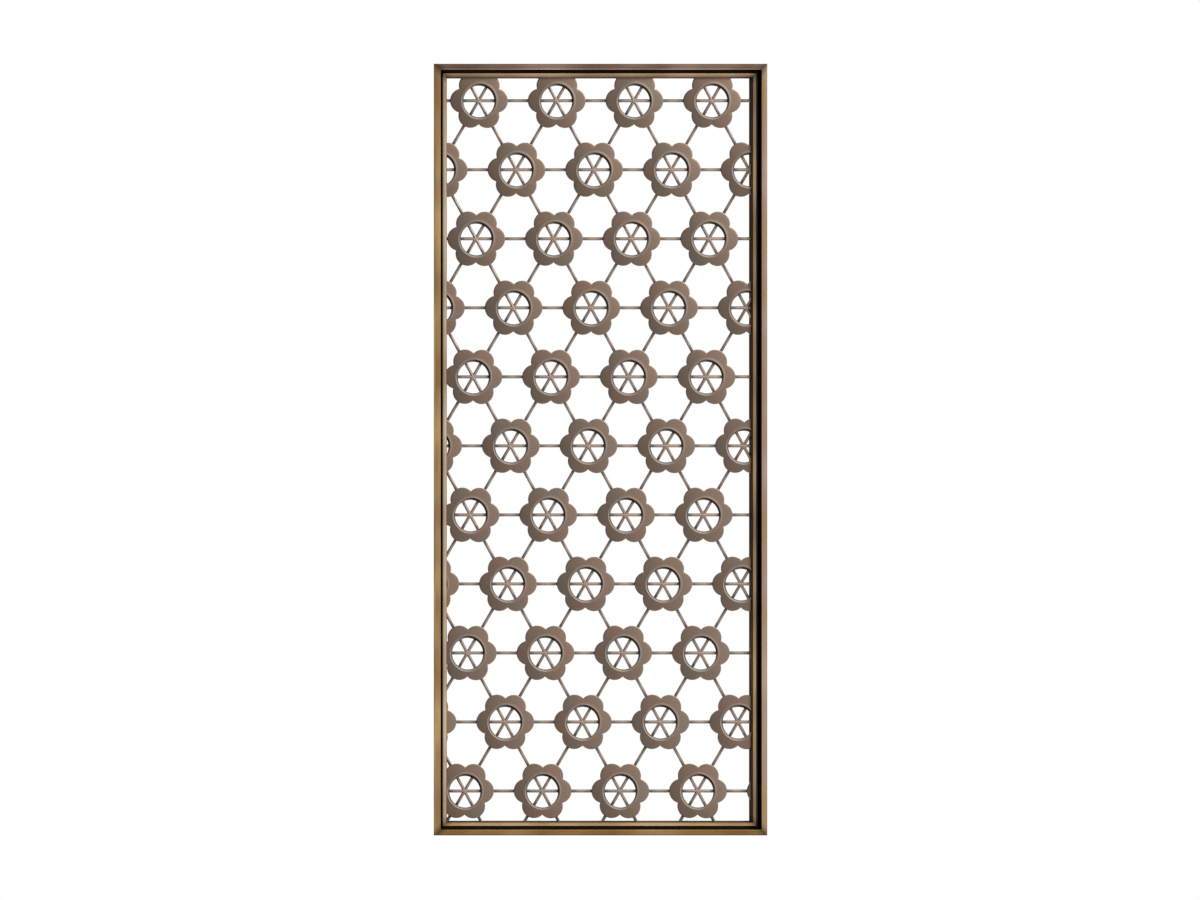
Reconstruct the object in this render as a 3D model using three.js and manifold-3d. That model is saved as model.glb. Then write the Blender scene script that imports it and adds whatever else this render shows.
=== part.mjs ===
// Aluminium lattice panel: a one-piece cast screen of six-petalled rosettes on round rods, set in a slim
// mitred inner frame that stands back from a mitred outer frame behind a dark shadow gap.
// Millimetres, +Z up, +X to the right and +Y away from the viewer. The origin is the middle of the
// underside of the bottom frame member's body, the face that rests on the sill of the wall opening.
import * as THREE from 'three';
import { mergeVertices } from 'three/addons/utils/BufferGeometryUtils.js';
import Module from 'manifold-3d';

// Overall size of the panel, measured over the outer frame's face.
const overall_width = 1060;
const overall_height = 2400;

// Outer frame section: a flat face, a web behind it and a ledge that the inner frame sits on.
const outer_face_width = 17.5;
const outer_face_thickness = 21;
const web_inset = 12.5;
const web_thickness = 4;
const ledge_thickness = 5;
const ledge_reveal = 1.5;
const outer_arris = 1;

// Inner frame section: a flat bar with a bevelled inner arris and a lip that the lattice lies against.
const shadow_gap = 11.2;
const inner_bar_width = 14.4;
const inner_bar_recess = 24;
const inner_bar_depth = 31.5;
const inner_bevel = 2.6;
const gap_arris = 1.3;
const lip_width = 2.7;
const lip_thickness = 4;

// Clearances between pieces that touch.
const mitre_gap = 0.3;
const seat_gap = 0.3;
const lattice_side_gap = 0.4;

// Lattice: level rods and two families of sloping rods that cross at the rosettes' centres.
const pitch = 248;
const row_pitch = 214.7;
const row_lean = 4.5;
const first_centre_from_left = 149;
const first_centre_from_top = 114.8;
const rod_diameter = 9.5;
const rod_sides = 6;

// Rosette: six round petals about a round opening, thickest beside the opening.
const petal_centre_radius = 54;
const petal_radius = 38;
const opening_front_radius = 53.5;
const opening_back_radius = 48;
const rosette_thickness = 7;
const petal_fall = 2;

// Finishes
const frame_bronze = { color: 0x86694d, metalness: 0.9, roughness: 0.42 };
const inner_bronze = { color: 0x8f7359, metalness: 0.9, roughness: 0.38 };
const lattice_bronze = { color: 0x7a6859, metalness: 0.9, roughness: 0.45 };

// Places that follow from the sizes above. Depths are counted back from the outer frame's front face.
const inner_bar_inset = outer_face_width + shadow_gap;
const opening_inset = inner_bar_inset + inner_bar_width;
const inner_bar_back = inner_bar_recess + inner_bar_depth;
const ledge_front = inner_bar_back + seat_gap;
const panel_depth = ledge_front + ledge_thickness;
const lip_front = inner_bar_back - lip_thickness;
const sill_depth = (outer_face_thickness + panel_depth) / 2;

const wasm = await Module();
wasm.setup();

function solid_from(geometry) {
  geometry.deleteAttribute('normal');
  geometry.deleteAttribute('uv');
  const merged = mergeVertices(geometry);
  const mesh = new wasm.Mesh({
    numProp: 3,
    vertProperties: new Float32Array(merged.attributes.position.array),
    triVerts: new Uint32Array(merged.index.array),
  });
  return new wasm.Manifold(mesh);
}

function geometry_from(solid) {
  const mesh = solid.getMesh();
  const geometry = new THREE.BufferGeometry();
  geometry.setAttribute('position', new THREE.BufferAttribute(mesh.vertProperties, 3));
  geometry.setIndex(new THREE.BufferAttribute(mesh.triVerts, 1));
  geometry.computeVertexNormals();
  return geometry;
}

// Frame sections. Each point is [inset from the panel's outer edge, depth behind its front face].
function outer_section() {
  const web_inner = web_inset + web_thickness;
  const ledge_end = opening_inset - ledge_reveal;
  return [
    [0, outer_arris],
    [outer_arris, 0],
    [outer_face_width - gap_arris, 0],
    [outer_face_width, gap_arris],
    [outer_face_width, outer_face_thickness],
    [web_inner, outer_face_thickness],
    [web_inner, ledge_front],
    [ledge_end, ledge_front],
    [ledge_end, panel_depth],
    [web_inset, panel_depth],
    [web_inset, outer_face_thickness],
    [0, outer_face_thickness],
  ];
}

function inner_section() {
  return [
    [inner_bar_inset, inner_bar_recess + gap_arris],
    [inner_bar_inset + gap_arris, inner_bar_recess],
    [opening_inset - inner_bevel, inner_bar_recess],
    [opening_inset, inner_bar_recess + inner_bevel],
    [opening_inset, lip_front],
    [opening_inset + lip_width, lip_front],
    [opening_inset + lip_width, inner_bar_back],
    [inner_bar_inset, inner_bar_back],
  ];
}

// A bar of one section, cut at 45 degrees at both ends: a point set further in stops further from the
// corner. It stands along Z from the panel's corner, with inset along X and depth along Y.
function mitred_bar(section, side_length) {
  const shape = new THREE.Shape(section.map(([inset, depth]) => new THREE.Vector2(inset, depth)));
  const geometry = new THREE.ExtrudeGeometry(shape, { depth: side_length, bevelEnabled: false });
  const place = geometry.attributes.position;
  const setback = mitre_gap / Math.SQRT2;
  for (let i = 0; i < place.count; i += 1) {
    const trimmed = place.getX(i) + setback;
    const far_end = place.getZ(i) > side_length / 2;
    place.setZ(i, far_end ? side_length - trimmed : trimmed);
  }
  geometry.computeVertexNormals();
  return geometry;
}

// Four bars of one section round the panel, each turned about Y so that its inset points inward.
function mitred_frame(name, section, finish) {
  const left_edge = -overall_width / 2;
  const right_edge = overall_width / 2;
  const low_edge = -web_inset;
  const high_edge = overall_height - web_inset;
  const sides = [
    { side: 'left', length: overall_height, quarter_turns: 0, x: left_edge, z: low_edge },
    { side: 'top', length: overall_width, quarter_turns: 1, x: left_edge, z: high_edge },
    { side: 'right', length: overall_height, quarter_turns: 2, x: right_edge, z: high_edge },
    { side: 'bottom', length: overall_width, quarter_turns: 3, x: right_edge, z: low_edge },
  ];
  const frame = new THREE.Group();
  for (const { side, length, quarter_turns, x, z } of sides) {
    const bar = new THREE.Mesh(mitred_bar(section, length), new THREE.MeshStandardMaterial(finish));
    bar.name = `${name}_${side}`;
    bar.rotation.y = quarter_turns * Math.PI / 2;
    bar.position.set(x, -sill_depth, z);
    frame.add(bar);
  }
  return frame;
}

// The lattice is worked out with its rods' axes at depth zero. A rod's section has one flat to the front
// and one to the back, and the round rod's own area.
const rod_side_turn = Math.PI / rod_sides;
const rod_side_area = Math.sin(rod_side_turn) * Math.cos(rod_side_turn);
const rod_corner = rod_diameter / 2 * Math.sqrt(rod_side_turn / rod_side_area);
const rod_half_depth = rod_corner * Math.cos(rod_side_turn);
const rod_flat_half_width = rod_corner * Math.sin(rod_side_turn);
const rod_axis_depth = lip_front - seat_gap - rod_half_depth;
const to_lower_right = new THREE.Vector3(pitch / 2 - row_lean, 0, -row_pitch);
const to_lower_left = new THREE.Vector3(-pitch / 2 - row_lean, 0, -row_pitch);
const first_centre = new THREE.Vector3(
  first_centre_from_left - overall_width / 2,
  0,
  overall_height - web_inset - first_centre_from_top,
);
const trimmed_width = overall_width - 2 * (opening_inset + lattice_side_gap);
const trimmed_height = overall_height - 2 * (opening_inset + lattice_side_gap);
const middle_height = overall_height / 2 - web_inset;

// The six rods that leave a crossing, as angles counted from the level one to the right, and the
// neighbouring crossing that each one leads to, as steps of row and column.
const full_turn = 2 * Math.PI;
const rise_right = Math.atan2(-to_lower_left.z, -to_lower_left.x);
const rise_left = Math.atan2(-to_lower_right.z, -to_lower_right.x);
const rod_angles = [0, rise_right, rise_left, Math.PI, Math.PI + rise_right, Math.PI + rise_left];
const rod_steps = [[0, 1], [-1, 1], [-1, 0], [0, -1], [1, -1], [1, 0]];
const rod_ways = rod_angles.length;

// Rows go on as long as their petals still reach into the opening.
const rosette_half_height = petal_centre_radius * Math.sin(rise_right) + petal_radius;
const rows_height = overall_height - opening_inset - first_centre_from_top + rosette_half_height;
const row_count = 1 + Math.floor(rows_height / row_pitch);

// A point beside a crossing: its place, and its angle about that crossing.
function point_at(centre, angle, across, depth, up) {
  return { angle, place: [centre.x + across, depth, centre.z + up] };
}

// The corner between a rod and the next one round, where their sides meet.
function fork(centre, rod_number, half_width, depth) {
  const turn = rod_angles[rod_number];
  const next_turn = rod_number + 1 < rod_ways ? rod_angles[rod_number + 1] : full_turn;
  const reach = half_width / Math.sin(next_turn - turn);
  const across = reach * (Math.cos(turn) + Math.cos(next_turn));
  const up = reach * (Math.sin(turn) + Math.sin(next_turn));
  return point_at(centre, (turn + next_turn) / 2, across, depth, up);
}

function on_circle(centre, angle, radius, depth) {
  return point_at(centre, angle, radius * Math.cos(angle), depth, radius * Math.sin(angle));
}

// A point of one petal's round edge, by its turn about the petal's own centre.
function on_petal(centre, axis, turn, depth) {
  const across = petal_centre_radius * Math.cos(axis) + petal_radius * Math.cos(axis + turn);
  const up = petal_centre_radius * Math.sin(axis) + petal_radius * Math.sin(axis + turn);
  const forward = petal_centre_radius + petal_radius * Math.cos(turn);
  return point_at(centre, axis + Math.atan2(petal_radius * Math.sin(turn), forward), across, depth, up);
}

// The turn from a petal's tip to the notch it shares with a neighbour, half_gap away about the centre.
function turn_to_notch(half_gap) {
  const sideways = petal_centre_radius * Math.sin(half_gap);
  const notch = petal_centre_radius * Math.cos(half_gap) + Math.sqrt(petal_radius ** 2 - sideways ** 2);
  return Math.atan2(notch * Math.sin(half_gap), notch * Math.cos(half_gap) - petal_centre_radius);
}

// One petal of a cast rosette and its share of the opening. The rosette lies on the rods' front flats. Its
// face falls away from the opening to the petals' edge, its edge draws in between the rods towards the
// back as the casting's draft, and the opening narrows towards the back. At the back, the rod's flat meets
// the petal's edge at its tip points and the opening at its seat points.
function petal_points(centre, rod_number) {
  const back = -rod_half_depth;
  const front = back - rosette_thickness;
  const edge = front + petal_fall;
  const axis = rod_angles[rod_number];
  const before = rod_number > 0 ? rod_angles[rod_number - 1] : rod_angles.at(-1) - full_turn;
  const after = rod_number + 1 < rod_ways ? rod_angles[rod_number + 1] : full_turn;
  const first = -turn_to_notch((axis - before) / 2);
  const last = turn_to_notch((after - axis) / 2);
  const tip = Math.asin(rod_flat_half_width / petal_radius);
  const seat = Math.asin(rod_flat_half_width / opening_back_radius);
  const between = (axis + before) / 2;
  return {
    edge_front: [first, first / 2, 0, last / 2].map((turn) => on_petal(centre, axis, turn, edge)),
    notch: on_petal(centre, axis, first, back),
    tip_right: on_petal(centre, axis, -tip, back),
    tip_left: on_petal(centre, axis, tip, back),
    opening_front: [between, axis].map((angle) => on_circle(centre, angle, opening_front_radius, front)),
    opening_between: on_circle(centre, between, opening_back_radius, back),
    seat_right: on_circle(centre, axis - seat, opening_back_radius, back),
    seat_left: on_circle(centre, axis + seat, opening_back_radius, back),
  };
}

const coordinates = [];
function face(...corners) {
  for (let i = 1; i < corners.length - 1; i += 1) {
    coordinates.push(...corners[0].place, ...corners[i].place, ...corners[i + 1].place);
  }
}

// Faces between two chains of points that run the same way round a rosette's centre. They face the viewer
// where the first chain is the wider one.
function band(wide, narrow) {
  let i = 0;
  let j = 0;
  while (i < wide.length - 1 || j < narrow.length - 1) {
    const narrow_done = j === narrow.length - 1;
    const wide_first = i < wide.length - 1 && (narrow_done || wide[i + 1].angle <= narrow[j + 1].angle);
    if (wide_first) {
      face(wide[i], wide[i + 1], narrow[j]);
      i += 1;
    } else {
      face(wide[i], narrow[j + 1], narrow[j]);
      j += 1;
    }
  }
}

function turned_on(point) {
  return { ...point, angle: point.angle + full_turn };
}

// A chain that starts again at its own first point, one full turn on.
function closed(chain) {
  return [...chain, turned_on(chain[0])];
}

function rosette_faces(petals) {
  const edge_front = closed(petals.flatMap((petal) => petal.edge_front));
  const edge_back = closed(petals.flatMap((petal) => [petal.notch, petal.tip_right, petal.tip_left]));
  const opening_front = closed(petals.flatMap((petal) => petal.opening_front));
  const opening_back = closed(
    petals.flatMap((petal) => [petal.opening_between, petal.seat_right, petal.seat_left]),
  );
  band(edge_front, opening_front);
  band(edge_back, edge_front);
  band(opening_front, opening_back);
  petals.forEach((petal, i) => {
    const last = i + 1 === petals.length;
    const next = last ? petals[0] : petals[i + 1];
    const onward = last ? turned_on : (point) => point;
    const opening = [petal.seat_left, onward(next.opening_between), onward(next.seat_right)];
    band(opening, [petal.tip_left, onward(next.notch), onward(next.tip_right)]);
  });
}

// Where the rods cross: at every rosette's centre, and one step on all round, past the inner frame.
function crossings() {
  const margin = trimmed_width / 2 + pitch + Math.abs(to_lower_left.x);
  const reach = trimmed_width / 2 + petal_centre_radius + petal_radius;
  const found = new Map();
  for (let row = -1; row <= row_count; row += 1) {
    const row_start = first_centre.clone().addScaledVector(to_lower_right, row);
    const first = Math.ceil((-margin - row_start.x) / pitch);
    const last = Math.floor((margin - row_start.x) / pitch);
    for (let column = first; column <= last; column += 1) {
      const centre = row_start.clone().add(new THREE.Vector3(column * pitch, 0, 0));
      const forks = (half_width, depth) => rod_angles.map((_, i) => fork(centre, i, half_width, depth));
      const has_rosette = row >= 0 && row < row_count && Math.abs(centre.x) < reach;
      found.set(`${row} ${column}`, {
        row,
        column,
        front: forks(rod_flat_half_width, -rod_half_depth),
        side: forks(rod_corner, 0),
        back: forks(rod_flat_half_width, rod_half_depth),
        petals: has_rosette ? rod_angles.map((_, i) => petal_points(centre, i)) : null,
      });
    }
  }
  return found;
}

// The number of the rod before this one, whose fork with it lies on its right.
function right_of(rod_number) {
  return (rod_number + rod_ways - 1) % rod_ways;
}

// The edges of a rod's front flat as it leaves a crossing, with the points where they pass the rosette.
function flat_left_edge(crossing, rod_number) {
  const petal = crossing.petals?.[rod_number];
  return [crossing.front[rod_number], ...(petal ? [petal.seat_left, petal.tip_left] : [])];
}

function flat_right_edge(crossing, rod_number) {
  const petal = crossing.petals?.[rod_number];
  return [crossing.front[right_of(rod_number)], ...(petal ? [petal.seat_right, petal.tip_right] : [])];
}

// A six-sided rod from one crossing to the next. Its front flat is open where a rosette lies on it.
function rod_faces(near, far, rod_number) {
  const far_number = (rod_number + rod_ways / 2) % rod_ways;
  const near_left = flat_left_edge(near, rod_number);
  const near_right = flat_right_edge(near, rod_number);
  const far_left = flat_right_edge(far, far_number);
  const far_right = flat_left_edge(far, far_number);
  const left = [...near_left, ...far_left.toReversed()];
  const right = [...near_right, ...far_right.toReversed()];
  if (near.petals) {
    face(near_left[0], near_right[0], near_right[1], near_left[1]);
  }
  if (far.petals) {
    face(far_left[1], far_right[1], far_right[0], far_left[0]);
  }
  face(near_left.at(-1), near_right.at(-1), far_right.at(-1), far_left.at(-1));
  const side = {
    near_left: near.side[rod_number],
    near_right: near.side[right_of(rod_number)],
    far_left: far.side[right_of(far_number)],
    far_right: far.side[far_number],
  };
  const back = {
    near_left: near.back[rod_number],
    near_right: near.back[right_of(rod_number)],
    far_left: far.back[right_of(far_number)],
    far_right: far.back[far_number],
  };
  face(side.near_left, ...left, side.far_left);
  face(side.near_right, side.far_right, ...right.toReversed());
  face(side.near_right, back.near_right, back.far_right, side.far_right);
  face(back.near_right, back.near_left, back.far_left, back.far_right);
  face(back.near_left, side.near_left, side.far_left, back.far_left);
}

// The end of a rod that leads to no further crossing, closed straight across.
function rod_end(crossing, rod_number) {
  const left = rod_number;
  const right = right_of(rod_number);
  face(crossing.front[left], crossing.front[right], crossing.side[right], crossing.back[right],
    crossing.back[left], crossing.side[left]);
}

function lattice() {
  const all = crossings();
  for (const crossing of all.values()) {
    face(...crossing.front);
    face(...crossing.back.toReversed());
    if (crossing.petals) {
      rosette_faces(crossing.petals);
    }
    rod_steps.forEach(([row_step, column_step], rod_number) => {
      const other = all.get(`${crossing.row + row_step} ${crossing.column + column_step}`);
      if (!other) {
        rod_end(crossing, rod_number);
      } else if (rod_number < rod_ways / 2) {
        rod_faces(crossing, other, rod_number);
      }
    });
  }
  const geometry = new THREE.BufferGeometry();
  geometry.setAttribute('position', new THREE.Float32BufferAttribute(coordinates, 3));
  const block = new THREE.BoxGeometry(trimmed_width, panel_depth, trimmed_height);
  const trimming = solid_from(block).translate([0, 0, middle_height]);
  const cast = solid_from(geometry).intersect(trimming);
  const mesh = new THREE.Mesh(geometry_from(cast), new THREE.MeshStandardMaterial(lattice_bronze));
  mesh.name = 'lattice';
  mesh.position.y = rod_axis_depth - sill_depth;
  return mesh;
}

const panel = new THREE.Group();
panel.add(mitred_frame('outer_frame', outer_section(), frame_bronze));
panel.add(mitred_frame('inner_frame', inner_section(), inner_bronze));
panel.add(lattice());
export default panel;
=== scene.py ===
import math

import bmesh
import bpy
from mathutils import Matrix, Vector


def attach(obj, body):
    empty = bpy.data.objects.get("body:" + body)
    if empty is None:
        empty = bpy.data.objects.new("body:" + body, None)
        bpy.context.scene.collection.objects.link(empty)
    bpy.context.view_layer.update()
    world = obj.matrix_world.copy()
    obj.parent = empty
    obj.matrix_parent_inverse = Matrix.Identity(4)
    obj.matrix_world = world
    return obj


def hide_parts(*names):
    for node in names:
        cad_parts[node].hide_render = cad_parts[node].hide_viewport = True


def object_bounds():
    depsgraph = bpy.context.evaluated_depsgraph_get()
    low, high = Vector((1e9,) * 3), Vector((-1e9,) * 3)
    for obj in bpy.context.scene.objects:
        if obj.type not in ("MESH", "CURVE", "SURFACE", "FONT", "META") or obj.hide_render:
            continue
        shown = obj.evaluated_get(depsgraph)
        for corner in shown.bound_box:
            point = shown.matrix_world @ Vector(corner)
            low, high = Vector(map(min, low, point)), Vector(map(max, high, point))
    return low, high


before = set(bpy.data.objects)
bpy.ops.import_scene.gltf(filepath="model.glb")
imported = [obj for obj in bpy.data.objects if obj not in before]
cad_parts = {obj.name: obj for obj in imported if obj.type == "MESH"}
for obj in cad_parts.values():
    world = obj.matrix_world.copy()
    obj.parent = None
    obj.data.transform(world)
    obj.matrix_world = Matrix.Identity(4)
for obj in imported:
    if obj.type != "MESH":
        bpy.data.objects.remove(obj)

cad_low, cad_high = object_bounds()


# The outer frame: four extruded aluminium members with a flat face, anodised in antique bronze and brushed
# along their length. Their ends are mitred at 45 degrees and welded from behind; the face bar laps over the
# wall round the opening, and a web and ledge behind it carry the inner frame.
mm = 0.001
panel_left, front_y, panel_low = cad_low
panel_right, back_y, panel_high = cad_high
panel_depth = back_y - front_y

outer_face_width = 17.5 * mm
outer_face_thickness = 21 * mm
web_inset = 12.5 * mm
web_thickness = 4 * mm
web_fillet = 1.5 * mm
ledge_reveal = 1.5 * mm
shadow_gap = 11.2 * mm
inner_bar_width = 14.4 * mm
inner_recess = 24 * mm
inner_depth = 31.5 * mm
seat_gap = 0.3 * mm
mitre_gap = 0.3 * mm
mitre_patina = 26 * mm
outer_arris = 0.9 * mm
gap_arris = 1.4 * mm
plain_arris = 0.4 * mm
bar_sharp_angle = math.radians(42)
opening_inset = outer_face_width + shadow_gap + inner_bar_width


def rounded_section(corners, steps=4):
    """Round each corner (inset, depth, radius) of a section with an arc, and give the outline's points."""
    outline = []
    for i, (inset, depth, radius) in enumerate(corners):
        here = Vector((inset, depth))
        before = Vector(corners[i - 1][:2])
        after = Vector(corners[(i + 1) % len(corners)][:2])
        back, forward = (before - here).normalized(), (after - here).normalized()
        half = back.angle(forward) / 2
        tangent = radius / math.tan(half)
        start, end = here + back * tangent, here + forward * tangent
        centre = here + (back + forward).normalized() * (radius / math.sin(half))
        for step in range(steps + 1):
            chord = start.lerp(end, step / steps) - centre
            outline.append(centre + chord.normalized() * radius)
    return outline


def mitred_bar(name, outline, side, material):
    """Run a section along one side of the panel, mitred at both ends, with a map of (along, around)."""
    tall = side in ("left", "right")
    length = (panel_high - panel_low) if tall else (panel_right - panel_left)
    start = {
        "left": Vector((panel_left, front_y, panel_low)),
        "top": Vector((panel_left, front_y, panel_high)),
        "right": Vector((panel_right, front_y, panel_high)),
        "bottom": Vector((panel_right, front_y, panel_low)),
    }[side]
    inward = {"left": (1, 0, 0), "top": (0, 0, -1), "right": (-1, 0, 0), "bottom": (0, 0, 1)}[side]
    inward, depth = Vector(inward), Vector((0, 1, 0))
    along = inward.cross(depth)
    setback = mitre_gap / math.sqrt(2)
    shape = bmesh.new()
    map_layer = shape.loops.layers.uv.new("grain")
    corner_layer = shape.verts.layers.float.new("corner")
    count = len(outline)
    around = [0.0]
    for i, point in enumerate(outline):
        around.append(around[-1] + (outline[(i + 1) % count] - point).length)
    rings = []
    for stretch, from_far_end in ((0, False), (mitre_patina, False), (mitre_patina, True), (0, True)):
        ring = []
        for inset, back in outline:
            place = inset + setback + stretch
            place = length - place if from_far_end else place
            ring.append(shape.verts.new(start + inward * inset + depth * back + along * place))
            ring[-1][corner_layer] = 0.0 if stretch else 1.0
        rings.append(ring)
    for near, far in zip(rings, rings[1:]):
        for i in range(count):
            j = (i + 1) % count
            corners = (near[i], near[j], far[j], far[i])
            face = shape.faces.new(corners)
            face.smooth = True
            for loop, vert, turn in zip(face.loops, corners, (i, i + 1, i + 1, i)):
                loop[map_layer].uv = ((vert.co - start).dot(along), around[turn])
    for ring in (rings[0][::-1], rings[-1]):
        cap = shape.faces.new(ring)
        for loop in cap.loops:
            loop[map_layer].uv = (loop.vert.co - start).dot(inward), (loop.vert.co - start).dot(depth)
    bmesh.ops.recalc_face_normals(shape, faces=shape.faces)
    mesh = bpy.data.meshes.new(name)
    shape.to_mesh(mesh)
    shape.free()
    mesh.set_sharp_from_angle(angle=bar_sharp_angle)
    mesh.materials.append(material)
    piece = bpy.data.objects.new(name, mesh)
    bpy.context.collection.objects.link(piece)
    return piece


def new_material(name):
    """Add a material, and give it with its node tree and its shader."""
    material = bpy.data.materials.new(name)
    material.use_nodes = True
    tree = material.node_tree
    return material, tree, tree.nodes["Principled BSDF"]


def node_at(tree, kind, x, y, **settings):
    """Add a node at a place on the sheet, with its settings."""
    node = tree.nodes.new(kind)
    node.location = (x, y)
    for key, value in settings.items():
        setattr(node, key, value)
    return node


def worked_out(tree, operation, *terms):
    """Add a maths node whose terms are sockets or plain numbers, and give its result."""
    node = tree.nodes.new("ShaderNodeMath")
    node.operation = operation
    for socket, term in zip(node.inputs, terms):
        if isinstance(term, bpy.types.NodeSocket):
            tree.links.new(term, socket)
        else:
            socket.default_value = term
    return node.outputs["Value"]


def scaled_at(tree, x, y, vector, factor):
    """Multiply a colour or vector socket by a number's socket, and give the result."""
    node = node_at(tree, "ShaderNodeVectorMath", x, y, operation="SCALE")
    tree.links.new(vector, node.inputs[0])
    tree.links.new(factor, node.inputs["Scale"])
    return node.outputs["Vector"]


def remapped_at(tree, x, y, value, given, wanted):
    """Map a value from one range (start, end) to another, held at both ends, and give the result."""
    node = node_at(tree, "ShaderNodeMapRange", x, y)
    node.inputs["From Min"].default_value = given[0]
    node.inputs["From Max"].default_value = given[1]
    node.inputs["To Min"].default_value = wanted[0]
    node.inputs["To Max"].default_value = wanted[1]
    tree.links.new(value, node.inputs["Value"])
    return node.outputs["Result"]


def noise_at(tree, x, y, place, scale, detail):
    """Add a noise texture over a place's socket, and give its value."""
    node = node_at(tree, "ShaderNodeTexNoise", x, y)
    node.inputs["Scale"].default_value = scale
    node.inputs["Detail"].default_value = detail
    tree.links.new(place, node.inputs["Vector"])
    return node.outputs["Fac"]


def ramp_at(tree, x, y, value, stops):
    """Colour a value by stops (position, colour), given from the lowest to the highest."""
    node = node_at(tree, "ShaderNodeValToRGB", x, y)
    elements = node.color_ramp.elements
    for element, (position, colour) in ((elements[0], stops[0]), (elements[1], stops[-1])):
        element.position = position
        element.color = (*colour, 1)
    for position, colour in stops[1:-1]:
        elements.new(position).color = (*colour, 1)
    tree.links.new(value, node.inputs["Fac"])
    return node.outputs["Color"]


def bump_at(tree, x, y, height, strength, distance):
    """Add low relief from a height's socket, and give its normal."""
    node = node_at(tree, "ShaderNodeBump", x, y)
    node.inputs["Strength"].default_value = strength
    node.inputs["Distance"].default_value = distance
    tree.links.new(height, node.inputs["Height"])
    return node.outputs["Normal"]


def brushed_bronze(name, tones, roughness, tones_across):
    """Anodised antique bronze brushed along the bar: long streaks, slow changes of tone, and painted light
    and shade round the section, with painted highlights on arrises and painted shade on the hidden sides.

    tones_across lists (place round the section from its first arris, strength of the tone there)."""
    slow_scale, streak_scale = (4.5, 12.0, 1.0), (9.0, 2200.0, 1.0)
    darker_at_mitre = 0.6
    material, tree, shader = new_material(name)
    link = tree.links.new
    grain = node_at(tree, "ShaderNodeUVMap", -1200, 0, uv_map="grain")
    slow = node_at(tree, "ShaderNodeMapping", -1000, 200)
    slow.inputs["Scale"].default_value = slow_scale
    link(grain.outputs["UV"], slow.inputs["Vector"])
    streaks = node_at(tree, "ShaderNodeMapping", -1000, -200)
    streaks.inputs["Scale"].default_value = streak_scale
    link(grain.outputs["UV"], streaks.inputs["Vector"])
    drift = noise_at(tree, -800, 200, slow.outputs["Vector"], 1.0, 1.5)
    brush = noise_at(tree, -800, -200, streaks.outputs["Vector"], 1.0, 4.0)
    tone = ramp_at(tree, -560, 200, drift, list(zip((0.36, 0.5, 0.64), tones)))
    shade = remapped_at(tree, -560, -200, brush, (0, 1), (0.78, 1.16))
    split = node_at(tree, "ShaderNodeSeparateXYZ", -1000, -450)
    link(grain.outputs["UV"], split.inputs["Vector"])
    # Painted light and shade round the section: highlights on arrises, shade on the sides in the gap and
    # behind.
    girth = tones_across[-1][0]
    share_of_girth = worked_out(tree, "DIVIDE", split.outputs["Y"], girth)
    greys = [(across / girth, (strength, strength, strength)) for across, strength in tones_across]
    painted_light_and_shade = ramp_at(tree, -560, -450, share_of_girth, greys)
    corner = node_at(tree, "ShaderNodeAttribute", -560, -600, attribute_name="corner")
    spared = worked_out(tree, "MULTIPLY_ADD", corner.outputs["Fac"], -darker_at_mitre, 1.0)
    strength = worked_out(tree, "MULTIPLY", worked_out(tree, "MULTIPLY", shade, spared), painted_light_and_shade)
    link(scaled_at(tree, -260, 200, tone, strength), shader.inputs["Base Color"])
    gloss = remapped_at(tree, -260, -100, brush, (0, 1), (roughness - 0.08, roughness + 0.10))
    link(gloss, shader.inputs["Roughness"])
    link(bump_at(tree, -260, -320, brush, 0.08, 0.2 * mm), shader.inputs["Normal"])
    shader.inputs["Metallic"].default_value = 0.9
    shader.inputs["Specular Tint"].default_value = (0.12, 0.10, 0.08, 1)
    return material


# Tones of each member from dark to light, which differ partly because each one was coloured on its own and
# partly as painted light and shade. Also how light its outer side, its outer arris, the strip beside the gap
# and the arris there are against its face, all as painted light and shade.
outer_tones = {
    "left": ((0.330, 0.195, 0.085), (0.420, 0.275, 0.130), (0.580, 0.380, 0.165)),
    "top": ((0.150, 0.095, 0.070), (0.253, 0.162, 0.118), (0.345, 0.235, 0.175)),
    "right": ((0.430, 0.290, 0.150), (0.450, 0.312, 0.225), (0.500, 0.370, 0.285)),
    "bottom": ((0.235, 0.135, 0.050), (0.323, 0.190, 0.072), (0.400, 0.260, 0.130)),
}
outer_strengths = {
    "left": (2.0, 1.3, 1.0, 1.0),
    "top": (0.7, 0.7, 0.95, 3.6),
    "right": (0.9, 0.9, 1.0, 1.6),
    "bottom": (0.4, 0.36, 1.2, 1.45),
}
outer_roughness = 0.34
# Painted shade: the sides in the shadow gap are darkened to in_gap, and the web's outer side and the lap's
# back to behind_lap.
in_gap, behind_lap = 0.14, 0.6
web_inner = web_inset + web_thickness
ledge_front = inner_recess + inner_depth + seat_gap
ledge_end = opening_inset - ledge_reveal
outer_outline = rounded_section([
    (0, 0, outer_arris),
    (outer_face_width, 0, gap_arris),
    (outer_face_width, outer_face_thickness, plain_arris),
    (web_inner, outer_face_thickness, plain_arris),
    (web_inner, ledge_front, web_fillet),
    (ledge_end, ledge_front, plain_arris),
    (ledge_end, panel_depth, plain_arris),
    (web_inset, panel_depth, plain_arris),
    (web_inset, outer_face_thickness, plain_arris),
    (0, outer_face_thickness, plain_arris),
])
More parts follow.
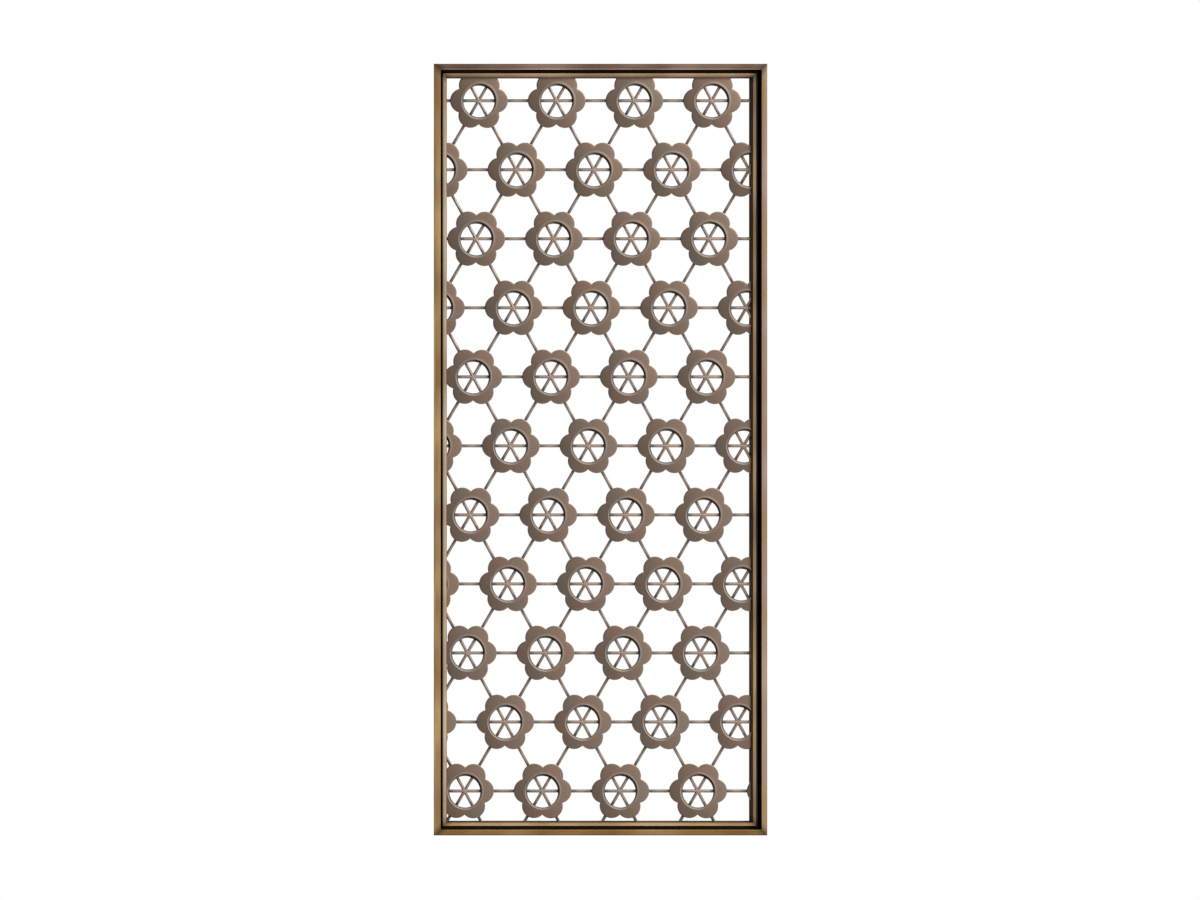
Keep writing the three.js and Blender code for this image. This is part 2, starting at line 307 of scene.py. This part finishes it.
# Places in mm round the section from the outer arris: the face to 16 mm, the arris beside the gap to 18.4 mm,
# the side in the gap, the web, the ledge and the back to 130 mm, the web's outer side and the lap's back to
# 182 mm, and the outer side from 184 mm.
# The arris beside the gap is painted light as a highlight. The outer side and the outer arris are painted
# lighter on the left member and darker on the bottom one, as light and shade.
for side, (outer_side, outer_edge, strip, gap_arris_highlight) in outer_strengths.items():
    outer_across = [
        (0, outer_edge), (1.5, outer_edge), (4, 0.95), (9, 1.05), (13, 0.95), (15, strip), (16, strip),
        (16.8, gap_arris_highlight), (18.4, gap_arris_highlight), (19.4, 0.3), (21.5, in_gap), (130, in_gap),
        (134, behind_lap), (182, behind_lap), (184, outer_side), (206, outer_side),
    ]
    outer_across = [(across * mm, strength) for across, strength in outer_across]
    outer_bronze = brushed_bronze(f"outer_bronze_{side}", outer_tones[side], outer_roughness, outer_across)
    member = mitred_bar(f"outer_member_{side}", outer_outline, side, outer_bronze)
    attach(member, "root")
    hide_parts(f"outer_frame_{side}")


# The inner frame: four mitred flat bars of aluminium in the same bronze, standing back behind the shadow gap
# on the outer frame's ledge. A bevel runs along their inner arris, and a small lip at the back stops the
# lattice.
inner_bevel = 2.6 * mm
bevel_arris = 0.8 * mm
lip_width = 2.7 * mm
lip_thickness = 4 * mm
inner_inset = outer_face_width + shadow_gap
inner_back = inner_recess + inner_depth
lip_front = inner_back - lip_thickness
inner_outline = rounded_section([
    (inner_inset, inner_recess, gap_arris),
    (opening_inset - inner_bevel, inner_recess, bevel_arris),
    (opening_inset, inner_recess + inner_bevel, bevel_arris),
    (opening_inset, lip_front, plain_arris),
    (opening_inset + lip_width, lip_front, plain_arris),
    (opening_inset + lip_width, inner_back, plain_arris),
    (inner_inset, inner_back, plain_arris),
])
# As with the outer members, the tones differ partly by each bar's own colour and partly as painted light and
# shade; the left bar is painted lightest.
inner_tones = {
    "left": ((0.530, 0.365, 0.225), (0.660, 0.485, 0.330), (0.740, 0.580, 0.430)),
    "top": ((0.330, 0.210, 0.130), (0.450, 0.305, 0.185), (0.560, 0.390, 0.240)),
    "right": ((0.300, 0.200, 0.120), (0.420, 0.285, 0.165), (0.560, 0.390, 0.225)),
    "bottom": ((0.460, 0.290, 0.150), (0.600, 0.400, 0.210), (0.680, 0.480, 0.270)),
}
# How light each bar is, as painted light and shade, at its arris beside the gap, near that, at its middle,
# near the bevel, on the bevel, and on its side in the gap: the bevel is painted light on the left bar and in
# shade on the others, and the side in the gap is painted in shade except on the left.
inner_strengths = {
    "left": (0.5, 0.75, 1.0, 1.15, 0.75, 0.7),
    "top": (0.9, 1.25, 1.0, 0.8, 0.5, 0.1),
    "right": (0.7, 1.0, 1.05, 0.95, 0.22, 0.1),
    "bottom": (0.75, 1.0, 1.0, 0.9, 0.22, 0.1),
}
inner_roughness = 0.32
# Painted shade on the bar's inner wall, and deeper painted shade on the lip and the back.
inner_wall, lip_and_back = 0.36, 0.16
for side, (arris, near_arris, middle, near_bevel, bevel, gap_side) in inner_strengths.items():
    inner_across = [
        (0, arris), (1, arris), (3, near_arris), (7, middle), (11, near_bevel), (12.3, bevel), (15.2, bevel),
        (16.5, inner_wall), (40, inner_wall), (45, lip_and_back), (64, lip_and_back), (67, gap_side),
        (92, gap_side), (94.5, arris),
    ]
    inner_across = [(across * mm, strength) for across, strength in inner_across]
    inner_bronze = brushed_bronze(f"inner_bronze_{side}", inner_tones[side], inner_roughness, inner_across)
    bar = mitred_bar(f"inner_bar_{side}", inner_outline, side, inner_bronze)
    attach(bar, "root")
    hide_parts(f"inner_frame_{side}")


# The lattice: one aluminium casting of round rods that cross at rosettes of six round petals, each with a
# low bead round its opening. It is fettled, patinated a satin antique bronze, cut to the inner frame's
# opening and laid against that frame's lip.
pitch = 248 * mm
row_pitch = 214.7 * mm
row_lean = 4.5 * mm
row_count = 11
column_count = 24
first_centre_from_left = 149 * mm
first_centre_from_top = 114.8 * mm
rod_diameter = 9.9 * mm
rod_sides = 16
rod_length = 7.0
petal_centre_radius = 54 * mm
petal_radius = 38 * mm
petal_steps = 14
rosette_before_axis = 3.6 * mm
lattice_side_gap = 0.4 * mm
lattice_sharp_angle = math.radians(48)
rod_axis_y = front_y + lip_front - seat_gap - rod_diameter / 2
lower_right = Vector((pitch / 2 - row_lean, 0, -row_pitch))
lower_left = Vector((-pitch / 2 - row_lean, 0, -row_pitch))
first_centre_x = panel_left + first_centre_from_left
first_centre_z = panel_high - first_centre_from_top
first_centre = Vector((first_centre_x, rod_axis_y, first_centre_z))


def petal_reach(angle, axes):
    """How far the six round petals reach from the rosette's centre at an angle."""
    nearest = min(abs((angle - axis + math.pi) % (2 * math.pi) - math.pi) for axis in axes)
    sideways = petal_centre_radius * math.sin(nearest)
    return petal_centre_radius * math.cos(nearest) + math.sqrt(petal_radius ** 2 - sideways ** 2)


def turn_to_notch(half_gap):
    """The turn from a petal's tip, about the petal's own centre, to the notch beside it."""
    sideways = petal_centre_radius * math.sin(half_gap)
    notch = petal_centre_radius * math.cos(half_gap) + math.sqrt(petal_radius ** 2 - sideways ** 2)
    return math.atan2(notch * math.sin(half_gap), notch * math.cos(half_gap) - petal_centre_radius)


def rosette_angles(axes):
    """Angles round the rosette, evenly spaced along each petal's own edge, with one at each notch."""
    angles = []
    for i, axis in enumerate(axes):
        before = axes[i - 1] - (2 * math.pi if i == 0 else 0)
        after = axes[(i + 1) % len(axes)] + (2 * math.pi if i == len(axes) - 1 else 0)
        first, last = -turn_to_notch((axis - before) / 2), turn_to_notch((after - axis) / 2)
        for step in range(petal_steps):
            turn = first + (last - first) * step / petal_steps
            forward = petal_centre_radius + petal_radius * math.cos(turn)
            angles.append(axis + math.atan2(petal_radius * math.sin(turn), forward))
    return angles


def rosette_mesh():
    """One rosette about the origin: rings of points from the opening's back edge out to the petals' back.

    Each ring is given with its rise from the rosette's back in mm: in the wall and the bead by its radius,
    in the petal by its share of the way from the bead's foot to the rim, and in the rim by its inset from the
    petals' edge. The wall leans, so that the opening is a little lower at the back than at the front."""
    wall = [(49.3, 0.0), (49.6, 2.4), (50.3, 4.6), (51.5, 6.1), (53.1, 6.9), (54.7, 7.2)]
    bead = [(56.2, 7.25), (57.6, 7.1), (59.2, 6.85), (61.0, 6.65)]
    petal = [(0.15, 6.5), (0.6, 6.3), (0.95, 5.9)]
    rim = [(1.9, 5.8), (0.9, 5.5), (0.25, 4.8), (0.0, 3.8), (0.0, 0.0)]
    lean_at_back = 2.6
    bead_top = bead[0][1]
    bead_foot = bead[-1][0] * mm
    rim_inset = rim[0][0] * mm
    first_rim_ring = len(wall) + len(bead) + len(petal)
    highlight_rings = (first_rim_ring + 1, first_rim_ring + 2)
    rises = [0.0, math.atan2(-lower_left.z, -lower_left.x), math.atan2(-lower_right.z, -lower_right.x)]
    axes = rises + [rise + math.pi for rise in rises]
    sections = []
    for angle in rosette_angles(axes):
        reach = petal_reach(angle, axes)
        lean = lean_at_back * math.sin(angle)
        section = [((radius - lean * (1 - rise / bead_top)) * mm, rise * mm) for radius, rise in wall]
        section += [(radius * mm, rise * mm) for radius, rise in bead]
        across_petal = reach - rim_inset - bead_foot
        section += [(bead_foot + across_petal * share, rise * mm) for share, rise in petal]
        section += [(reach - inset * mm, rise * mm) for inset, rise in rim]
        sections.append((angle, section))
    shape = bmesh.new()
    # The rim's front rings are marked for a painted highlight.
    rim_highlight = shape.verts.layers.float.new("rim")
    rings = []
    for k in range(first_rim_ring + len(rim)):
        ring = []
        for angle, section in sections:
            radius, rise = section[k]
            vert = shape.verts.new((radius * math.cos(angle), -rise, radius * math.sin(angle)))
            vert[rim_highlight] = 1.0 if k in highlight_rings else 0.0
            ring.append(vert)
        rings.append(ring)
    for ring, wider in zip(rings, rings[1:] + rings[:1]):
        for i in range(len(ring)):
            j = (i + 1) % len(ring)
            face = shape.faces.new((ring[i], wider[i], wider[j], ring[j]))
            face.smooth = True
    bmesh.ops.recalc_face_normals(shape, faces=shape.faces)
    mesh = bpy.data.meshes.new("one_rosette")
    shape.to_mesh(mesh)
    shape.free()
    return mesh


def from_nearest_crossing(tree, place):
    """How far a point lies from the nearest crossing of the rods: to the right, upward, and in all."""
    split = tree.nodes.new("ShaderNodeSeparateXYZ")
    tree.links.new(place, split.inputs["Vector"])
    across = worked_out(tree, "SUBTRACT", split.outputs["X"], first_centre.x)
    down = worked_out(tree, "SUBTRACT", first_centre.z, split.outputs["Z"])
    row = worked_out(tree, "ROUND", worked_out(tree, "DIVIDE", down, row_pitch))
    shift = worked_out(tree, "MULTIPLY", row, lower_right.x)
    in_row = worked_out(tree, "SUBTRACT", across, shift)
    column = worked_out(tree, "ROUND", worked_out(tree, "DIVIDE", in_row, pitch))
    right = worked_out(tree, "SUBTRACT", in_row, worked_out(tree, "MULTIPLY", column, pitch))
    up = worked_out(tree, "SUBTRACT", worked_out(tree, "MULTIPLY", row, row_pitch), down)
    squares = [worked_out(tree, "MULTIPLY", leg, leg) for leg in (right, up)]
    return right, up, worked_out(tree, "SQRT", worked_out(tree, "ADD", *squares))


def tones_by_distance(tree, distance, tones_outward):
    """Colours that change with the distance from a crossing, given as (distance in mm, colour)."""
    farthest = pitch / 2
    stops = [(radius * mm / farthest, tone) for radius, tone in tones_outward]
    return ramp_at(tree, -900, 300, worked_out(tree, "DIVIDE", distance, farthest), stops)


def satin_patina_and_painted_light(name):
    """Antique bronze patina and painted light and shade, which follow the distance and the direction from the
    nearest crossing.

    It is lightest where the rods cross, with painted shadow on the rods beside the rosettes, painted shade on
    the upper right of each opening's wall, painted highlights on the lower left of the bead and along the
    petals' rim, and each rosette painted lighter toward its right."""
    # The crossing is given the lightest tone; rod_shadow is painted shadow on the rods next to each rosette's
    # petals and inside its opening.
    lightest_crossing, rod, rod_shadow = (0.44, 0.33, 0.27), (0.345, 0.278, 0.236), (0.155, 0.128, 0.110)
    petal = (0.225, 0.168, 0.131)
    dark_wall, bead = (0.030, 0.024, 0.020), (0.34, 0.275, 0.230)
    shaded_wall, bead_highlight = (0.14, 0.12, 0.105), (0.78, 0.68, 0.59)
    plain_wall, plain_bead = (0.26, 0.22, 0.19), (0.27, 0.205, 0.165)
    inside = [(0, lightest_crossing), (8, rod), (34, rod), (46, rod_shadow)]
    # Painted light and shade round each opening: the wall is painted dark on its upper right, the bead
    # painted with a highlight on its lower left, and plain tones lie between.
    upper_right = [(47, dark_wall), (53.0, dark_wall), (54.8, bead), (56.6, bead)]
    lower_left = [(47, shaded_wall), (54.6, shaded_wall), (55.9, bead_highlight), (57.4, bead_highlight)]
    between = [(47, plain_wall), (53.4, plain_wall), (55.2, plain_bead), (57.2, plain_bead)]
    outside = [(59.0, petal), (91, petal), (93.5, rod_shadow), (117, rod)]
    petal_end, past_petals = 91 * mm, 96 * mm
    upward_share = 0.45
    lighter_rim = 0.3
    material, tree, shader = new_material(name)
    link = tree.links.new
    place = node_at(tree, "ShaderNodeTexCoord", -1600, 0).outputs["Object"]
    right, up, distance = from_nearest_crossing(tree, place)
    toward_light = worked_out(tree, "DIVIDE", worked_out(tree, "ADD", right, up), distance)
    tone = tones_by_distance(tree, distance, inside + between + outside)
    # The painted shade and highlight are mixed in by the direction toward the light.
    for ring_tones, least_and_most in ((upper_right, (0.25, 1.15)), (lower_left, (-0.5, -1.3))):
        share = remapped_at(tree, -900, 600, toward_light, least_and_most, (0, 1))
        mix = node_at(tree, "ShaderNodeMix", -600, 400, data_type="RGBA")
        first_tone, second_tone = [socket for socket in mix.inputs if socket.type == "RGBA"]
        link(share, mix.inputs["Factor"])
        link(tone, first_tone)
        link(tones_by_distance(tree, distance, inside + ring_tones + outside), second_tone)
        tone = next(socket for socket in mix.outputs if socket.type == "RGBA")
    patches = noise_at(tree, -800, 100, place, 13.0, 2.0)
    hue = ramp_at(tree, -600, 100, patches, [(0.36, (0.87, 0.89, 0.87)), (0.64, (1.0, 0.89, 0.84))])
    coat = node_at(tree, "ShaderNodeVectorMath", -350, 300, operation="MULTIPLY")
    link(tone, coat.inputs[0])
    link(hue, coat.inputs[1])
    # Painted light and shade: each rosette is painted lighter toward the right and a little upward, and
    # darker toward the lower left.
    lean = worked_out(tree, "ADD", right, worked_out(tree, "MULTIPLY", up, upward_share))
    on_petals = remapped_at(tree, -800, -50, distance, (petal_end, past_petals), (1, 0))
    reach = petal_centre_radius + petal_radius
    lean_on_petals = worked_out(tree, "MULTIPLY", lean, on_petals)
    painted_side_light = remapped_at(tree, -600, -50, lean_on_petals, (-reach, reach), (0.70, 1.36))
    # Painted highlight: the rim's front rings are painted lighter by lighter_rim.
    rim = node_at(tree, "ShaderNodeAttribute", -800, -200, attribute_name="rim")
    rim_highlight = worked_out(tree, "MULTIPLY_ADD", rim.outputs["Fac"], lighter_rim, 1.0)
    strength = worked_out(tree, "MULTIPLY", painted_side_light, rim_highlight)
    link(scaled_at(tree, -150, 300, coat.outputs["Vector"], strength), shader.inputs["Base Color"])
    fine = noise_at(tree, -800, -400, place, 900.0, 3.0)
    link(remapped_at(tree, -500, -350, fine, (0, 1), (0.34, 0.48)), shader.inputs["Roughness"])
    link(bump_at(tree, -500, -550, fine, 0.10, 0.3 * mm), shader.inputs["Normal"])
    shader.inputs["Metallic"].default_value = 0.85
    return material


def lattice_nodes(material):
    """Rosettes and rods on the leaning lattice, from named inputs. The rods run past the panel's edges."""
    tree = bpy.data.node_groups.new("lattice_layout", "GeometryNodeTree")
    interface = tree.interface
    interface.new_socket("Geometry", in_out="INPUT", socket_type="NodeSocketGeometry")
    inputs = {
        "Rosette": "NodeSocketObject",
        "First centre": "NodeSocketVector",
        "Next column": "NodeSocketVector",
        "Next row": "NodeSocketVector",
        "Reach": "NodeSocketFloat",
        "Rosette offset": "NodeSocketVector",
        "Rod radius": "NodeSocketFloat",
        "Rod length": "NodeSocketFloat",
        "Rod sides": "NodeSocketInt",
        "Rows": "NodeSocketInt",
        "Columns": "NodeSocketInt",
        "Turn level": "NodeSocketFloat",
        "Turn rising right": "NodeSocketFloat",
        "Turn rising left": "NodeSocketFloat",
    }
    sockets = {
        name: interface.new_socket(name, in_out="INPUT", socket_type=kind) for name, kind in inputs.items()
    }
    interface.new_socket("Geometry", in_out="OUTPUT", socket_type="NodeSocketGeometry")
    link = tree.links.new
    given = node_at(tree, "NodeGroupInput", -1400, 0).outputs
    result = node_at(tree, "NodeGroupOutput", 1400, 0)
    rows = node_at(tree, "GeometryNodeMeshLine", -1100, 200, mode="OFFSET")
    link(given["Rows"], rows.inputs["Count"])
    link(given["First centre"], rows.inputs["Start Location"])
    link(given["Next row"], rows.inputs["Offset"])
    first_column = worked_out(tree, "FLOOR", worked_out(tree, "MULTIPLY", given["Columns"], -0.5))
    columns = node_at(tree, "GeometryNodeMeshLine", -1100, -100, mode="OFFSET")
    link(given["Columns"], columns.inputs["Count"])
    link(given["Next column"], columns.inputs["Offset"])
    link(scaled_at(tree, -1250, -350, given["Next column"], first_column), columns.inputs["Start Location"])
    sites = node_at(tree, "GeometryNodeInstanceOnPoints", -850, 100)
    link(rows.outputs["Mesh"], sites.inputs["Points"])
    link(columns.outputs["Mesh"], sites.inputs["Instance"])
    real_sites = node_at(tree, "GeometryNodeRealizeInstances", -650, 100)
    link(sites.outputs["Instances"], real_sites.inputs["Geometry"])
    position = node_at(tree, "GeometryNodeInputPosition", -850, -150)
    split = node_at(tree, "ShaderNodeSeparateXYZ", -700, -150)
    link(position.outputs["Position"], split.inputs["Vector"])
    sideways = worked_out(tree, "ABSOLUTE", split.outputs["X"])
    kept = node_at(tree, "GeometryNodeDeleteGeometry", -450, 100, domain="POINT")
    link(real_sites.outputs["Geometry"], kept.inputs["Geometry"])
    link(worked_out(tree, "GREATER_THAN", sideways, given["Reach"]), kept.inputs["Selection"])
    rosette = node_at(tree, "GeometryNodeObjectInfo", -450, 400)
    link(given["Rosette"], rosette.inputs["Object"])
    raised = node_at(tree, "GeometryNodeSetPosition", -250, 100)
    link(kept.outputs["Geometry"], raised.inputs["Geometry"])
    link(given["Rosette offset"], raised.inputs["Offset"])
    rosettes = node_at(tree, "GeometryNodeInstanceOnPoints", 0, 200)
    link(raised.outputs["Geometry"], rosettes.inputs["Points"])
    link(rosette.outputs["Geometry"], rosettes.inputs["Instance"])
    joined = node_at(tree, "GeometryNodeJoinGeometry", 700, 0)
    link(rosettes.outputs["Instances"], joined.inputs["Geometry"])
    rod = node_at(tree, "GeometryNodeMeshCylinder", 0, -200)
    link(given["Rod sides"], rod.inputs["Vertices"])
    link(given["Rod radius"], rod.inputs["Radius"])
    link(given["Rod length"], rod.inputs["Depth"])
    first_row = node_at(tree, "GeometryNodeSetPosition", 0, -500)
    link(columns.outputs["Mesh"], first_row.inputs["Geometry"])
    link(given["First centre"], first_row.inputs["Offset"])
    families = (
        ("Turn level", rows.outputs["Mesh"]),
        ("Turn rising right", first_row.outputs["Geometry"]),
        ("Turn rising left", first_row.outputs["Geometry"]),
    )
    for step, (turn_name, points) in enumerate(families):
        turn = node_at(tree, "ShaderNodeCombineXYZ", 200, -250 - 200 * step)
        link(given[turn_name], turn.inputs["Y"])
        rods = node_at(tree, "GeometryNodeInstanceOnPoints", 450, -200 - 200 * step)
        link(points, rods.inputs["Points"])
        link(rod.outputs["Mesh"], rods.inputs["Instance"])
        link(turn.outputs["Vector"], rods.inputs["Rotation"])
        link(rods.outputs["Instances"], joined.inputs["Geometry"])
    real = node_at(tree, "GeometryNodeRealizeInstances", 900, 0)
    link(joined.outputs["Geometry"], real.inputs["Geometry"])
    coat = node_at(tree, "GeometryNodeSetMaterial", 1150, 0)
    coat.inputs["Material"].default_value = material
    link(real.outputs["Geometry"], coat.inputs["Geometry"])
    link(coat.outputs["Geometry"], result.inputs["Geometry"])
    return tree, {name: socket.identifier for name, socket in sockets.items()}


one_rosette = bpy.data.objects.new("one_rosette", rosette_mesh())
bpy.context.collection.objects.link(one_rosette)
layout, socket_of = lattice_nodes(satin_patina_and_painted_light("lattice_patina_and_painted_light"))
holder = bpy.data.objects.new("lattice_holder", bpy.data.meshes.new("lattice_holder"))
bpy.context.collection.objects.link(holder)
modifier = holder.modifiers.new("layout", "NODES")
modifier.node_group = layout
opening_half_width = (panel_right - panel_left) / 2 - opening_inset - lattice_side_gap
sizes = {
    "Rosette": one_rosette,
    "First centre": first_centre,
    "Next column": Vector((pitch, 0, 0)),
    "Next row": lower_right,
    "Reach": opening_half_width + petal_centre_radius + petal_radius,
    "Rosette offset": Vector((0, -rosette_before_axis, 0)),
    "Rod radius": rod_diameter / 2,
    "Rod length": rod_length,
    "Rod sides": rod_sides,
    "Rows": row_count,
    "Columns": column_count,
    "Turn level": math.pi / 2,
    "Turn rising right": math.atan2(lower_right.x, lower_right.z),
    "Turn rising left": math.atan2(lower_left.x, lower_left.z),
}
for label, value in sizes.items():
    modifier[socket_of[label]] = value
bpy.context.view_layer.update()
evaluated = holder.evaluated_get(bpy.context.evaluated_depsgraph_get())
lattice_mesh = bpy.data.meshes.new_from_object(evaluated)
lattice_mesh.name = "cast_lattice"
bpy.data.objects.remove(holder)
bpy.data.objects.remove(one_rosette)

# The casting is cut off all round at the inner frame's opening, and every cut face is closed.
cut = bmesh.new()
cut.from_mesh(lattice_mesh)
cut_tolerance = 1e-7
low_cut = Vector((-opening_half_width, 0, panel_low + opening_inset + lattice_side_gap))
high_cut = Vector((opening_half_width, 0, panel_high - opening_inset - lattice_side_gap))
for point, outward in (
    (low_cut, (-1, 0, 0)), (low_cut, (0, 0, -1)), (high_cut, (1, 0, 0)), (high_cut, (0, 0, 1)),
):
    everything = cut.verts[:] + cut.edges[:] + cut.faces[:]
    trimmed = bmesh.ops.bisect_plane(
        cut, geom=everything, dist=cut_tolerance, plane_co=point, plane_no=outward, clear_outer=True)
    open_edges = [item for item in trimmed["geom_cut"] if isinstance(item, bmesh.types.BMEdge)]
    bmesh.ops.holes_fill(cut, edges=open_edges, sides=0)
bmesh.ops.triangulate(cut, faces=[face for face in cut.faces if len(face.verts) > 4])
for face in cut.faces:
    face.smooth = True
cut.to_mesh(lattice_mesh)
cut.free()
lattice_mesh.set_sharp_from_angle(angle=lattice_sharp_angle)
lattice = bpy.data.objects.new("cast_lattice", lattice_mesh)
bpy.context.collection.objects.link(lattice)
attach(lattice, "root")
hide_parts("lattice")


# The stand-in studio: a pale floor under the panel, one large soft light from the upper right in front of
# it, and a world that is brightest toward the upper right and dim on the other side.
floor_half = 6.0
floor_tone = (0.86, 0.86, 0.86, 1)
key_place = Vector((3.4, -3.0, 4.4))
key_size = 2.2
key_power = 200
bright_side = Vector((0.75, 0.45, 0.5)).normalized()

floor_mesh = bpy.data.meshes.new("floor")
floor_mesh.from_pydata(
    [(x * floor_half, y * floor_half, panel_low) for x, y in ((-1, -1), (1, -1), (1, 1), (-1, 1))],
    [], [(0, 1, 2, 3)])
floor = bpy.data.objects.new("floor", floor_mesh)
bpy.context.collection.objects.link(floor)
floor_paint, _, floor_shader = new_material("floor_paint")
floor_shader.inputs["Base Color"].default_value = floor_tone
floor_shader.inputs["Roughness"].default_value = 0.7
floor_mesh.materials.append(floor_paint)

world = bpy.data.worlds.new("studio")
bpy.context.scene.world = world
world.use_nodes = True
sky = world.node_tree
direction = node_at(sky, "ShaderNodeTexCoord", -800, 0)
facing = node_at(sky, "ShaderNodeVectorMath", -600, 0, operation="DOT_PRODUCT")
facing.inputs[1].default_value = bright_side
sky.links.new(direction.outputs["Generated"], facing.inputs[0])
brightness = remapped_at(sky, -400, 0, facing.outputs["Value"], (-0.9, 0.58), (0.25, 1.0))
sky.links.new(brightness, sky.nodes["Background"].inputs["Color"])
bpy.context.scene.view_settings.view_transform = "Standard"

panel_middle = Vector((0, (cad_low[1] + cad_high[1]) / 2, (panel_low + panel_high) / 2))
key_data = bpy.data.lights.new("key", "AREA")
key_data.shape = "SQUARE"
key_data.size = key_size
key_data.energy = key_power
key = bpy.data.objects.new("key", key_data)
key.location = key_place
key.rotation_euler = (panel_middle - key_place).to_track_quat("-Z", "Y").to_euler()
bpy.context.collection.objects.link(key)


# The camera: level, turned 13 degrees to look from the left, with a parallel view because the photograph's
# rosettes keep one size and its frame's edges stay parallel. It is placed by panel_px, the panel's edges in
# the photograph in pixels.
view_turn = math.radians(13)
camera_distance = 6.0
photo_width, photo_height = 1200, 900
panel_px = {"left": 433.8, "top": 63.8, "right": 767.3, "bottom": 835.4}
metres_per_px = (panel_high - panel_low) / (panel_px["bottom"] - panel_px["top"])
look = Vector((math.sin(view_turn), math.cos(view_turn), 0))
rightward = Vector((math.cos(view_turn), -math.sin(view_turn), 0))
left_seen = panel_left * rightward.x + (front_y + outer_face_thickness) * rightward.y
right_seen = panel_right * rightward.x + front_y * rightward.y
seen_middle = (left_seen + right_seen) / 2
off_right = (photo_width / 2 - (panel_px["left"] + panel_px["right"]) / 2) * metres_per_px
off_down = (photo_height / 2 - (panel_px["top"] + panel_px["bottom"]) / 2) * metres_per_px
camera_data = bpy.data.cameras.new("camera")
camera_data.type = "ORTHO"
camera_data.ortho_scale = photo_width * metres_per_px
camera = bpy.data.objects.new("camera", camera_data)
aim = rightward * (seen_middle + off_right) + Vector((0, 0, panel_middle.z - off_down))
camera.location = aim - look * camera_distance
camera.rotation_euler = look.to_track_quat("-Z", "Y").to_euler()
bpy.context.collection.objects.link(camera)
bpy.context.scene.camera = camera
